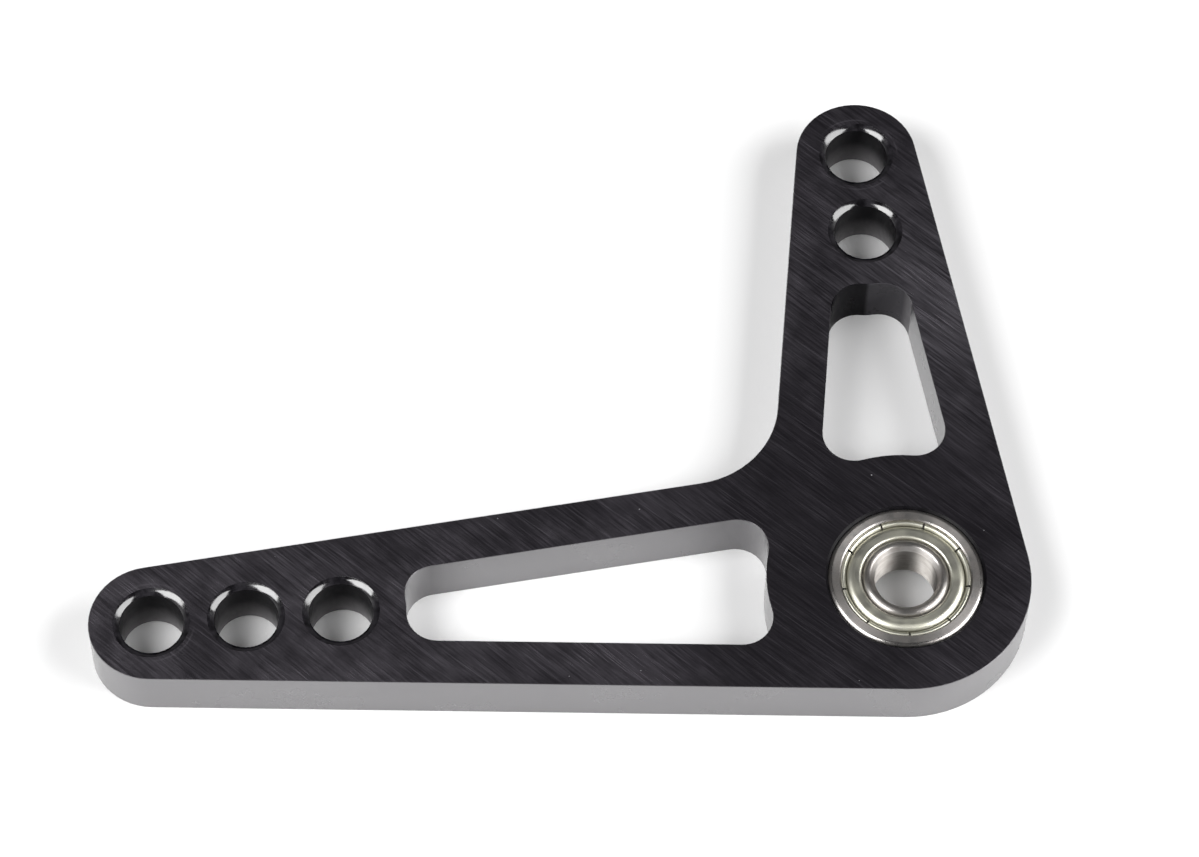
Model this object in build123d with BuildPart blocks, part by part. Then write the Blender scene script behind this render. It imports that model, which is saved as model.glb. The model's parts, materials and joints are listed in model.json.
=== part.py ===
from build123d import *
import os
from math import acos, cos, degrees, isclose, radians, sin

# Plate: lengths from the pivot axis
LONG_ARM = 76.2  # pivot to the outermost rod hole of the long arm
SHORT_ARM = 50.8  # pivot to the outermost rod hole of the short arm
HOLE_PITCH = 9.525  # spacing of the rod holes along an arm
LONG_ARM_HOLES = 3
SHORT_ARM_HOLES = 2
PLATE_THICKNESS = 6.35
TIP_RADIUS = 6.35  # rounded end of each arm, about its outermost hole
CORNER_RADIUS = 12.7  # outer corner of the plate, about the pivot
FLANK_RADIUS = 14.15  # circle about the pivot that the two inner edges are tangent to
INNER_FILLET = 9.8  # between the two inner edges
EDGE_BREAK = 0.05  # small chamfer along the outline and the pockets

# Pockets that lighten the arms
WEB = 4.7625  # wall between a pocket and the plate's edge
PIVOT_WALL = 6.2  # wall between a pocket and the bearing seat
HOLE_WALL = 3.35  # wall between a pocket and the nearest rod hole
POCKET_CUTTER_RADIUS = 3.175

# Rod holes, countersunk on both faces
ROD_HOLE_DIAMETER = 6.5
COUNTERSINK_DIAMETER = 7.86
COUNTERSINK_ANGLE = 120

# Bearing seat, open at the top face, with a shoulder under the outer ring
SEAT_RECESS = 0.05  # how far the bearing's end face lies below the top face
SEAT_CHAMFER = 0.22
SHOULDER_DIAMETER = 13.4

# Ball bearing
BEARING_BORE = 6.35
BEARING_OUTER = 15.875
BEARING_WIDTH = 4.978
BALL_DIAMETER = 2.38125
BALL_COUNT = 8
RACEWAY_CONFORMITY = 0.525  # section radius of both ball grooves over the ball's diameter
RUNNING_CLEARANCE = 0.01  # between a ball and each groove, along the radius
LAND_GROOVE_DEPTH = 0.485  # depth of a ball groove below its land

# Rings, in section
BORE_CHAMFER = 0.45
INNER_FACE_WIDTH = 0.325  # flat of the inner ring's end faces
INNER_RING_CORNER = 0.4  # rounded outer edge of the inner ring's end faces
INNER_STEP_DEPTH = 0.62  # end step of the inner ring, under the shield's lip
OUTER_FACE_WIDTH = 0.6675  # flat of the outer ring's end faces
RING_CORNER = 0.5  # rounded outer corners of the outer ring
MOUTH_WIDTH = 0.15  # chamfered mouth of the shield's seat, along the radius
MOUTH_DEPTH = 0.12
LIP_DEPTH = 0.26  # underside of the ring's lip, below the end face
LEDGE_DEPTH = 0.66  # floor of the shield's seat, below the end face
SNAP_DEPTH = 0.18  # undercut behind the lip

# Shields, pressed from thin sheet
SHIELD_SHEET = 0.15
SHIELD_GAP = 0.15  # between the inner ring and the shield's turned-down lip
SHIELD_LIP_DEPTH = 0.5  # reach of the turned-down lip below the end face
SHIELD_FACE_DEPTH = 0.1  # top of the flat face below the end face
LIP_BEND = 0.22  # bend radii along the middle of the sheet, from the lip to the rim
FACE_BEND = 0.7
VALLEY_BEND = 0.1
CREST_BEND = 0.2
VALLEY_SLOPE = 0.34  # slope from the flat face down to the valley, along the radius
VALLEY_DEPTH = 0.55
CREST_SLOPE = 0.4  # slope from the valley up to the crest
CREST_DEPTH = 0.22
CREST_INSET = 0.2  # crest of the rim inside the ring's lip
RIM_GRIP = 0.12  # how far the rim springs into the undercut
RIM_DEPTH = 0.5
NOTCH_COUNT = 9  # slots that part the rim into tabs
NOTCH_WIDTH = 0.2
NOTCH_INSET = 0.1  # inner end of a slot, outside the valley
NOTCH_ANGLE = 27.4  # direction of the first slot from +X

# Ribbon cage, two pressed halves held by rivets
CAGE_SHEET = 0.2
CAGE_INNER_GAP = 0.2  # between the cage and the inner ring's land
CAGE_OUTER_GAP = 0.2  # between the cage and the outer ring's land
POCKET_CLEARANCE = 0.06  # between a ball and its pocket
RIVET_DIAMETER = 0.5
RIVET_HEAD_DIAMETER = 0.9
RIVET_HEAD_HEIGHT = 0.2

# Sizes that follow from the ones above
PLATE_HALF = PLATE_THICKNESS / 2
ROD_HOLE_RADIUS = ROD_HOLE_DIAMETER / 2
SEAT_RADIUS = BEARING_OUTER / 2
SEAT_DEPTH = BEARING_WIDTH + SEAT_RECESS
BEARING_HALF = BEARING_WIDTH / 2
BEARING_MIDDLE = PLATE_HALF - SEAT_RECESS - BEARING_HALF
BORE_RADIUS = BEARING_BORE / 2
BALL_RADIUS = BALL_DIAMETER / 2
RACEWAY_RADIUS = RACEWAY_CONFORMITY * BALL_DIAMETER
PITCH_RADIUS = (BORE_RADIUS + SEAT_RADIUS) / 2
INNER_GROOVE_RADIUS = PITCH_RADIUS - BALL_RADIUS - RUNNING_CLEARANCE
OUTER_GROOVE_RADIUS = PITCH_RADIUS + BALL_RADIUS + RUNNING_CLEARANCE
INNER_LAND_RADIUS = INNER_GROOVE_RADIUS + LAND_GROOVE_DEPTH
OUTER_LAND_RADIUS = OUTER_GROOVE_RADIUS - LAND_GROOVE_DEPTH
INNER_STEP_RADIUS = BORE_RADIUS + BORE_CHAMFER + INNER_FACE_WIDTH + INNER_RING_CORNER
SHIELD_SEAT_RADIUS = SEAT_RADIUS - RING_CORNER - OUTER_FACE_WIDTH - MOUTH_WIDTH
UNDERCUT_RADIUS = SHIELD_SEAT_RADIUS + SNAP_DEPTH
LIP_LINE = INNER_STEP_RADIUS + SHIELD_GAP + SHIELD_SHEET / 2
FACE_LINE = BEARING_HALF - SHIELD_FACE_DEPTH - SHIELD_SHEET / 2
CREST_RADIUS = SHIELD_SEAT_RADIUS - CREST_INSET
VALLEY_RADIUS = CREST_RADIUS - CREST_SLOPE
RIM_RADIUS = SHIELD_SEAT_RADIUS + RIM_GRIP
NOTCH_LENGTH = UNDERCUT_RADIUS - VALLEY_RADIUS - NOTCH_INSET
CAGE_INNER_RADIUS = INNER_LAND_RADIUS + CAGE_INNER_GAP
CAGE_OUTER_RADIUS = OUTER_LAND_RADIUS - CAGE_OUTER_GAP
CAGE_POCKET_RADIUS = BALL_RADIUS + POCKET_CLEARANCE
HALF_BALL_PITCH = 180 / BALL_COUNT
NEAREST_LONG_HOLE = LONG_ARM - (LONG_ARM_HOLES - 1) * HOLE_PITCH
NEAREST_SHORT_HOLE = SHORT_ARM - (SHORT_ARM_HOLES - 1) * HOLE_PITCH

# The pivot axis is Z, and the origin lies at the middle of the plate's thickness.
# Each arm has a plane of its own: X along the arm, Y towards the inner edge.
LONG_ARM_PLANE = Plane(origin=(0, 0, 0), x_dir=(-1, 0, 0), z_dir=(0, 0, -1))
SHORT_ARM_PLANE = Plane(origin=(0, 0, 0), x_dir=(0, 1, 0), z_dir=(0, 0, 1))
BEARING_PLANE = Plane.XY.offset(BEARING_MIDDLE)
SECTION_PLANE = Plane(origin=(0, 0, BEARING_MIDDLE), x_dir=(1, 0, 0), z_dir=(0, -1, 0))
ON_PLANE = (Align.CENTER, Align.CENTER, Align.MIN)


def edge_normal(hub_radius, arm_length):
    """Angle between an arm and the normal of its edge, tangent to hub and tip circles."""
    return degrees(acos((hub_radius - TIP_RADIUS) / arm_length))


def pocket_side(hub_radius, arm_length, station):
    """Distance of a pocket wall from the arm's centre line, at a station along the arm."""
    normal = radians(edge_normal(hub_radius, arm_length))
    return (hub_radius - WEB - station * cos(normal)) / sin(normal)


def draw_pocket(arm_plane, arm_length, nearest_hole):
    """Pocket from the hub to the nearest rod hole, its walls parallel to the arm's edges.

    The two offsets leave only what the cutter can reach, with its radius in the corners.
    """
    hub_outer = pocket_side(CORNER_RADIUS, arm_length, 0)
    hub_inner = pocket_side(FLANK_RADIUS, arm_length, 0)
    hole_outer = pocket_side(CORNER_RADIUS, arm_length, nearest_hole)
    hole_inner = pocket_side(FLANK_RADIUS, arm_length, nearest_hole)
    with BuildSketch(arm_plane) as pocket:
        with BuildLine():
            Polyline(
                (0, -hub_outer),
                (nearest_hole, -hole_outer),
                (nearest_hole, hole_inner),
                (0, hub_inner),
                close=True,
            )
        make_face()
        Circle(SEAT_RADIUS + PIVOT_WALL, mode=Mode.SUBTRACT)
        with Locations((nearest_hole, 0)):
            Circle(ROD_HOLE_RADIUS + HOLE_WALL, mode=Mode.SUBTRACT)
        offset(amount=-POCKET_CUTTER_RADIUS, mode=Mode.REPLACE)
        offset(amount=POCKET_CUTTER_RADIUS, kind=Kind.ARC, mode=Mode.REPLACE)
    return pocket.sketch


def circles_of(part, radius):
    """Circular edges of one radius, from the lowest to the highest."""
    circles = part.edges().filter_by(GeomType.CIRCLE)
    return circles.filter_by(lambda edge: isclose(edge.radius, radius, abs_tol=1e-4)).sort_by(Axis.Z)


# Crank plate, one machined piece
long_outer = 180 + edge_normal(CORNER_RADIUS, LONG_ARM)
long_inner = 180 - edge_normal(FLANK_RADIUS, LONG_ARM)
short_outer = 90 - edge_normal(CORNER_RADIUS, SHORT_ARM)
short_inner = 90 + edge_normal(FLANK_RADIUS, SHORT_ARM)
corner_angle = (long_inner + short_inner) / 2
corner_reach = FLANK_RADIUS / cos(radians(short_inner - long_inner) / 2)
inner_corner = Vector(corner_reach, 0).rotate(Axis.Z, corner_angle)
long_holes = [(-LONG_ARM + number * HOLE_PITCH, 0) for number in range(LONG_ARM_HOLES)]
short_holes = [(0, SHORT_ARM - number * HOLE_PITCH) for number in range(SHORT_ARM_HOLES)]

with BuildPart() as crank_plate:
    with BuildSketch() as outline:
        with BuildLine():
            hub = CenterArc((0, 0), CORNER_RADIUS, long_outer, (short_outer - long_outer) % 360)
            short_tip = CenterArc((0, SHORT_ARM), TIP_RADIUS, short_outer, short_inner - short_outer)
            long_tip = CenterArc((-LONG_ARM, 0), TIP_RADIUS, long_inner, long_outer - long_inner)
            Line(hub @ 1, short_tip @ 0)
            Polyline(short_tip @ 1, inner_corner, long_tip @ 0)
            Line(long_tip @ 1, hub @ 0)
        make_face()
        fillet(outline.vertices().sort_by_distance(inner_corner)[0], INNER_FILLET)
    extrude(amount=PLATE_HALF, both=True)
    long_pocket = draw_pocket(LONG_ARM_PLANE, LONG_ARM, NEAREST_LONG_HOLE)
    short_pocket = draw_pocket(SHORT_ARM_PLANE, SHORT_ARM, NEAREST_SHORT_HOLE)
    extrude(long_pocket, amount=PLATE_HALF, both=True, mode=Mode.SUBTRACT)
    extrude(short_pocket, amount=PLATE_HALF, both=True, mode=Mode.SUBTRACT)
    chamfer(crank_plate.faces().filter_by(Axis.Z).edges(), EDGE_BREAK)
    for face_side, turn in ((PLATE_HALF, 0), (-PLATE_HALF, 180)):
        with Locations([Location((x, y, face_side), (turn, 0, 0)) for x, y in long_holes + short_holes]):
            CounterSinkHole(ROD_HOLE_RADIUS, COUNTERSINK_DIAMETER / 2, counter_sink_angle=COUNTERSINK_ANGLE)
    with Locations((0, 0, PLATE_HALF)):
        CounterBoreHole(SHOULDER_DIAMETER / 2, SEAT_RADIUS, SEAT_DEPTH)
    chamfer(circles_of(crank_plate, SEAT_RADIUS)[-1], SEAT_CHAMFER)
    chamfer(circles_of(crank_plate, SHOULDER_DIAMETER / 2)[0], EDGE_BREAK)
crank_plate.part.label = "crank_plate"

# Outer ring, pressed into the seat
with BuildPart() as bearing_outer_ring:
    with BuildSketch(SECTION_PLANE) as outer_section:
        with BuildLine():
            Polyline(
                (OUTER_LAND_RADIUS, 0),
                (SEAT_RADIUS, 0),
                (SEAT_RADIUS, BEARING_HALF),
                (SHIELD_SEAT_RADIUS + MOUTH_WIDTH, BEARING_HALF),
                (SHIELD_SEAT_RADIUS, BEARING_HALF - MOUTH_DEPTH),
                (SHIELD_SEAT_RADIUS, BEARING_HALF - LIP_DEPTH),
                (UNDERCUT_RADIUS, BEARING_HALF - LIP_DEPTH),
                (UNDERCUT_RADIUS, BEARING_HALF - LEDGE_DEPTH),
                (OUTER_LAND_RADIUS, BEARING_HALF - LEDGE_DEPTH),
                close=True,
            )
        make_face()
        fillet(outer_section.vertices().sort_by_distance((SEAT_RADIUS, BEARING_HALF))[0], RING_CORNER)
        mirror(about=Plane.XZ)
        with Locations((OUTER_GROOVE_RADIUS - RACEWAY_RADIUS, 0)):
            Circle(RACEWAY_RADIUS, mode=Mode.SUBTRACT)
    revolve(axis=Axis.Z)
bearing_outer_ring.part.label = "bearing_outer_ring"

# Inner ring, turns with the pivot bolt
with BuildPart() as bearing_inner_ring:
    with BuildSketch(SECTION_PLANE) as inner_section:
        with BuildLine():
            Polyline(
                (BORE_RADIUS, 0),
                (BORE_RADIUS, BEARING_HALF),
                (INNER_STEP_RADIUS, BEARING_HALF),
                (INNER_STEP_RADIUS, BEARING_HALF - INNER_STEP_DEPTH),
                (INNER_LAND_RADIUS, BEARING_HALF - INNER_STEP_DEPTH),
                (INNER_LAND_RADIUS, 0),
                close=True,
            )
        make_face()
        chamfer(inner_section.vertices().sort_by_distance((BORE_RADIUS, BEARING_HALF))[0], BORE_CHAMFER)
        fillet(
            inner_section.vertices().sort_by_distance((INNER_STEP_RADIUS, BEARING_HALF))[0],
            INNER_RING_CORNER,
        )
        mirror(about=Plane.XZ)
        with Locations((INNER_GROOVE_RADIUS + RACEWAY_RADIUS, 0)):
            Circle(RACEWAY_RADIUS, mode=Mode.SUBTRACT)
    revolve(axis=Axis.Z)
bearing_inner_ring.part.label = "bearing_inner_ring"

# Upper shield: turned-down lip, flat face, valley, and a notched rim under the ring's lip
with BuildPart() as upper_shield:
    with BuildSketch(SECTION_PLANE) as shield_section:
        with BuildLine():
            FilletPolyline(
                (LIP_LINE, BEARING_HALF - SHIELD_LIP_DEPTH),
                (LIP_LINE, FACE_LINE),
                (VALLEY_RADIUS - VALLEY_SLOPE, FACE_LINE),
                (VALLEY_RADIUS, BEARING_HALF - VALLEY_DEPTH),
                (CREST_RADIUS, BEARING_HALF - CREST_DEPTH),
                (RIM_RADIUS, BEARING_HALF - RIM_DEPTH),
                radius=[LIP_BEND, FACE_BEND, VALLEY_BEND, CREST_BEND],
            )
        trace(line_width=SHIELD_SHEET)
    revolve(axis=Axis.Z)
    with Locations(BEARING_PLANE.offset(BEARING_HALF)):
        with PolarLocations(UNDERCUT_RADIUS - NOTCH_LENGTH / 2, NOTCH_COUNT, start_angle=NOTCH_ANGLE):
            Box(NOTCH_LENGTH, NOTCH_WIDTH, 2 * LEDGE_DEPTH, mode=Mode.SUBTRACT)
upper_shield.part.label = "upper_shield"

# Lower shield, the same pressing on the other end of the bearing
with BuildPart() as lower_shield:
    mirror(upper_shield.part, about=BEARING_PLANE)
lower_shield.part.label = "lower_shield"

# Cage, upper half: a flat ribbon with a domed pocket over each ball
with BuildPart() as cage_upper:
    with BuildSketch(BEARING_PLANE):
        Circle(CAGE_OUTER_RADIUS)
        Circle(CAGE_INNER_RADIUS, mode=Mode.SUBTRACT)
    extrude(amount=CAGE_SHEET)
    with Locations(BEARING_PLANE):
        with PolarLocations(PITCH_RADIUS, BALL_COUNT):
            Sphere(CAGE_POCKET_RADIUS + CAGE_SHEET, arc_size1=0, align=ON_PLANE)
    with BuildSketch(BEARING_PLANE):
        Circle(CAGE_OUTER_RADIUS)
        Circle(CAGE_INNER_RADIUS, mode=Mode.SUBTRACT)
    extrude(amount=BEARING_HALF, mode=Mode.INTERSECT)
    with Locations(BEARING_PLANE):
        with PolarLocations(PITCH_RADIUS, BALL_COUNT):
            Sphere(CAGE_POCKET_RADIUS, mode=Mode.SUBTRACT)
        with PolarLocations(PITCH_RADIUS, BALL_COUNT, start_angle=HALF_BALL_PITCH):
            Hole(RIVET_DIAMETER / 2)
cage_upper.part.label = "cage_upper"

# Cage, lower half
with BuildPart() as cage_lower:
    mirror(cage_upper.part, about=BEARING_PLANE)
cage_lower.part.label = "cage_lower"

# Rivets through the flats of both halves, with a head on each side
with BuildPart() as cage_rivets:
    with Locations(BEARING_PLANE):
        with PolarLocations(PITCH_RADIUS, BALL_COUNT, start_angle=HALF_BALL_PITCH):
            Cylinder(RIVET_DIAMETER / 2, 2 * CAGE_SHEET)
    for head_base in (CAGE_SHEET, -CAGE_SHEET - RIVET_HEAD_HEIGHT):
        with BuildSketch(BEARING_PLANE.offset(head_base)):
            with PolarLocations(PITCH_RADIUS, BALL_COUNT, start_angle=HALF_BALL_PITCH):
                Circle(RIVET_HEAD_DIAMETER / 2)
        extrude(amount=RIVET_HEAD_HEIGHT)
cage_rivets.part.label = "cage_rivets"

# Balls, one for each pocket of the cage
balls = []
for number in range(BALL_COUNT):
    with BuildPart() as ball:
        with Locations(BEARING_PLANE):
            with PolarLocations(PITCH_RADIUS, 1, start_angle=number * 360 / BALL_COUNT):
                Sphere(BALL_RADIUS)
    ball.part.label = f"ball_{number + 1}"
    balls.append(ball.part)

os.makedirs("parts", exist_ok=True)
export_step(crank_plate.part, "parts/crank_plate.step")
export_step(bearing_outer_ring.part, "parts/bearing_outer_ring.step")
export_step(bearing_inner_ring.part, "parts/bearing_inner_ring.step")
export_step(upper_shield.part, "parts/upper_shield.step")
export_step(lower_shield.part, "parts/lower_shield.step")
export_step(cage_upper.part, "parts/cage_upper.step")
export_step(cage_lower.part, "parts/cage_lower.step")
export_step(cage_rivets.part, "parts/cage_rivets.step")
for ball_part in balls:
    export_step(ball_part, f"parts/{ball_part.label}.step")
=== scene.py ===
"""Looks of a ball-bearing bellcrank: a black anodised plate with a shielded bearing, in a pale studio."""

import json
import logging
import math
from dataclasses import dataclass, field
from enum import Enum

import bpy
from mathutils import Matrix, Vector

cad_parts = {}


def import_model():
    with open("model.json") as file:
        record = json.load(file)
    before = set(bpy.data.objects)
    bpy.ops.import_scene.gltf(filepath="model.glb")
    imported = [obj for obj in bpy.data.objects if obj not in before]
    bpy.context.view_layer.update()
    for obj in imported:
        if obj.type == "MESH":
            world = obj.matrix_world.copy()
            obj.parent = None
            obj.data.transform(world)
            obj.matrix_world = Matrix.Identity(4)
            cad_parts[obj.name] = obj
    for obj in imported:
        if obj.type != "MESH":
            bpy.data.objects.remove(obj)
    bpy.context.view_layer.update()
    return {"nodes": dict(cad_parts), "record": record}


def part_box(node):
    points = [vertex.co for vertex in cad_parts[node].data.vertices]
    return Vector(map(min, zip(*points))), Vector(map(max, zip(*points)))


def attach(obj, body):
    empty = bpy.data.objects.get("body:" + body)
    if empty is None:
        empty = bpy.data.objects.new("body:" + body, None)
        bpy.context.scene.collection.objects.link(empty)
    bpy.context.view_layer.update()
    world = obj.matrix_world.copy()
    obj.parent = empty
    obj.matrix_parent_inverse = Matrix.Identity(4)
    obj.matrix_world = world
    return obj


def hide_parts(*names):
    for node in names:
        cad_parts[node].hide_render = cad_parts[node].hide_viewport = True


log = logging.getLogger("bellcrank")

MM = 0.001
UP = Vector((0, 0, 1))
BRUSHING = math.radians(45)

Point = tuple[float, float]
Range = tuple[float, float]
Relief = tuple[float, float]
Place = tuple[float, float, float]
Colour = tuple[float, float, float]
Piece = bpy.types.Object
Material = bpy.types.Material
Tree = bpy.types.NodeTree
Socket = bpy.types.NodeSocket
Value = Socket | float | Place
Inputs = dict[str | int, Value]


class PlateSurface(Enum):
    """The ways that the plate was cut before it was dyed, and the short pocket's end with painted shade, as places in
    its material slots.
    """

    FACE = 0
    WALL = 1
    BORE = 2
    COUNTERSINK = 3
    SHADED_END = 4


class Side(Enum):
    """Which end of the bearing a piece closes, as the sign of its height."""

    UPPER = 1
    LOWER = -1


@dataclass(frozen=True)
class Corner:
    """A corner of a turned section: distance from the axis, height and bend radius, in millimetres."""

    across: float
    height: float
    radius: float = 0.0


def mirrored(section: list[Corner]) -> list[Corner]:
    """Turns corners upside down, in the reverse order."""
    return [Corner(corner.across, -corner.height, corner.radius) for corner in reversed(section)]


def rounded(section: list[Corner], closed: bool, arc_steps: int = 8, support: float = 0.1) -> list[Point]:
    """Works out the points of a section whose corners are rounded by arcs.

    Args:
        section: The section's corners in order, in millimetres.
        closed: Whether the last corner joins the first.
        arc_steps: Spans in each arc.
        support: How far outside an arc its extra points lie, as a share of its radius.

    Returns:
        The points along the section, with one more just outside each end of an arc, which keeps flats flat.
    """
    points: list[Point] = []
    count = len(section)
    for number, corner in enumerate(section):
        here = Vector((corner.across, corner.height))
        if corner.radius == 0 or (not closed and number in (0, count - 1)):
            points.append(tuple(here))
            continue
        before, after = section[number - 1], section[(number + 1) % count]
        back = (Vector((before.across, before.height)) - here).normalized()
        ahead = (Vector((after.across, after.height)) - here).normalized()
        half = back.angle(ahead) / 2
        reach = corner.radius / math.tan(half)
        centre = here + (back + ahead).normalized() * corner.radius / math.sin(half)
        start = here + back * reach - centre
        turn = start.angle_signed(here + ahead * reach - centre)
        points.append(tuple(here + back * (reach + corner.radius * support)))
        for step in range(arc_steps + 1):
            angle = -turn * step / arc_steps
            points.append(tuple(centre + Matrix.Rotation(angle, 2) @ start))
        points.append(tuple(here + ahead * (reach + corner.radius * support)))
    return points


def set_mode(mode: str) -> None:
    """Brings the active piece into object or edit mode."""
    bpy.ops.object.mode_set(mode=mode)


def select_mesh(action: str = "SELECT") -> None:
    """Selects all of the active piece's mesh in edit mode, or nothing with DESELECT."""
    set_mode("EDIT")
    bpy.ops.mesh.select_all(action=action)


def deselect_all() -> None:
    """Leaves edit mode and selects nothing, so that the next operator acts on its own piece alone."""
    if bpy.context.object and bpy.context.object.mode != "OBJECT":
        set_mode("OBJECT")
    bpy.ops.object.select_all(action="DESELECT")


def take_up(piece: Piece) -> None:
    """Makes one piece the active one, selected alone.

    Args:
        piece: The piece.
    """
    deselect_all()
    piece.select_set(True)
    bpy.context.view_layer.objects.active = piece


def apply_modifier(piece: Piece, kind: str, **settings: object) -> None:
    """Adds a modifier to a piece and applies it.

    Args:
        piece: The piece.
        kind: The modifier's type.
        settings: Values for the modifier's own properties.
    """
    take_up(piece)
    modifier = piece.modifiers.new(kind.title(), kind)
    for name, value in settings.items():
        setattr(modifier, name, value)
    bpy.ops.object.modifier_apply(modifier=modifier.name)


@dataclass(frozen=True)
class Lathe:
    """Turns a section about the bearing's axis, in millimetres, and then brings the piece into the frame."""

    steps: int = 180
    merge: float = 0.0002
    smooth_angle: float = math.radians(35)

    def turn(self, name: str, points: list[Point]) -> Piece:
        """Draws a section as a chain of edges in the XZ plane and spins it a full turn, with its faces outwards.

        Args:
            name: Name of the new piece.
            points: Distances from the axis and heights above the section's middle.

        Returns:
            The new piece.
        """
        deselect_all()
        places = [Vector((across, 0, up)) for across, up in points]
        bpy.ops.mesh.primitive_plane_add(size=1, location=places[0])
        bpy.ops.object.transform_apply()
        piece = bpy.context.object
        piece.name = piece.data.name = name
        select_mesh()
        bpy.ops.mesh.merge(type="CENTER")
        for here, there in zip(places, places[1:]):
            bpy.ops.mesh.extrude_vertices_move(TRANSFORM_OT_translate={"value": there - here})
        select_mesh()
        bpy.ops.mesh.spin(steps=self.steps, angle=math.tau, center=(0, 0, 0), axis=UP)
        select_mesh()
        bpy.ops.mesh.remove_doubles(threshold=self.merge)
        bpy.ops.mesh.normals_make_consistent(inside=False)
        set_mode("OBJECT")
        return piece

    def finish(self, piece: Piece, height: float, material: Material) -> None:
        """Brings a turned piece into the frame, smooths all but its true edges and dresses it.

        Args:
            piece: The piece, in millimetres about its own middle.
            height: Height of that middle in the frame, in metres.
            material: The piece's finish.
        """
        take_up(piece)
        piece.scale = (MM, MM, MM)
        piece.location = (0, 0, height)
        bpy.ops.object.transform_apply()
        bpy.ops.object.shade_smooth_by_angle(angle=self.smooth_angle)
        piece.data.materials.append(material)


class Graph:
    """A node tree with short ways to add nodes, set their values and join them."""

    def __init__(self, tree: Tree) -> None:
        """Takes up a node tree."""
        self.tree = tree

    def fill(self, node: bpy.types.Node, inputs: Inputs) -> None:
        """Joins sockets to a node's inputs or gives them values.

        Args:
            node: The node.
            inputs: Sockets or values by the input's name or number, colours without their alpha.
        """
        for name, value in inputs.items():
            target = node.inputs[name]
            if isinstance(value, Socket):
                self.tree.links.new(value, target)
            else:
                target.default_value = (*value, 1) if target.type == "RGBA" else value

    def add(self, kind: str, inputs: Inputs | None = None, **settings: object) -> bpy.types.Node:
        """Adds a shader node.

        Args:
            kind: The node's type, without its leading words.
            inputs: Sockets or values for its inputs.
            settings: Values for the node's own properties.

        Returns:
            The new node.
        """
        node = self.tree.nodes.new(f"ShaderNode{kind}")
        for name, value in settings.items():
            setattr(node, name, value)
        self.fill(node, inputs or {})
        return node

    def math(self, operation: str, first: Value, second: Value = 0.0, clamp: bool = False) -> Socket:
        """Works out a number from one or two others, held between 0 and 1 on request."""
        return self.add("Math", {0: first, 1: second}, operation=operation, use_clamp=clamp).outputs[0]

    def vector(self, operation: str, first: Value, second: Value = (0, 0, 0)) -> Socket:
        """Works out a vector, or the number that is its length, from one or two others."""
        node = self.add("VectorMath", {0: first, 1: second}, operation=operation)
        return node.outputs["Value" if operation in ("LENGTH", "DISTANCE") else "Vector"]

    def part(self, vector: Socket, axis: str) -> Socket:
        """Takes one part of a vector, X, Y or Z."""
        return self.add("SeparateXYZ", {"Vector": vector}).outputs[axis]

    def remap(
        self, value: Value, source: Range, target: tuple[Value, Value] = (0, 1), ease: str = "LINEAR"
    ) -> Socket:
        """Carries a value from one range to another, held at the ends."""
        ends = dict(zip(("From Min", "From Max", "To Min", "To Max"), (*source, *target)))
        return self.add("MapRange", {"Value": value} | ends, interpolation_type=ease).outputs["Result"]

    def blend(self, first: Socket, share: float, second: Socket) -> Socket:
        """Adds up two values, the first by its share and the second by the rest."""
        return self.math("ADD", self.math("MULTIPLY", first, share), self.math("MULTIPLY", second, 1 - share))

    def between(self, share: Value, first: Value, second: Value) -> Socket:
        """Mixes two numbers."""
        return self.add("Mix", {0: share, 2: first, 3: second}).outputs[0]

    def mix(self, share: Value, first: Value, second: Value) -> Socket:
        """Mixes two colours."""
        return self.add("Mix", {0: share, 6: first, 7: second}, data_type="RGBA").outputs[2]

    def noise(self, vector: Socket, scale: Value, detail: float, roughness: float) -> Socket:
        """Draws soft noise, from 0 to 1."""
        inputs = {"Vector": vector, "Scale": scale, "Detail": detail, "Roughness": roughness}
        return self.add("TexNoise", inputs).outputs[0]

    def bump(self, height: Socket, strength: float, distance: float) -> Socket:
        """Works out the normal of a surface with a fine relief."""
        return self.add("Bump", {"Height": height, "Strength": strength, "Distance": distance}).outputs[0]


class EffectGroup(Graph):
    """A shader node group that works out one value from a vector and further inputs."""

    def __init__(self, name: str, *inputs: str) -> None:
        """Makes the group.

        Args:
            name: The group's name.
            inputs: Names of the inputs after Vector: numbers, apart from Centre, which is a vector.
        """
        super().__init__(bpy.data.node_groups.new(name, "ShaderNodeTree"))
        for label in ("Vector", *inputs):
            kind = "NodeSocketVector" if label in ("Vector", "Centre") else "NodeSocketFloat"
            self.tree.interface.new_socket(label, in_out="INPUT", socket_type=kind)
        self.tree.interface.new_socket("Value", in_out="OUTPUT", socket_type="NodeSocketFloat")
        self.given = self.tree.nodes.new("NodeGroupInput").outputs

    def close(self, value: Socket) -> Tree:
        """Sends the value out of the group and returns the group's tree."""
        self.fill(self.tree.nodes.new("NodeGroupOutput"), {"Value": value})
        return self.tree


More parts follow.
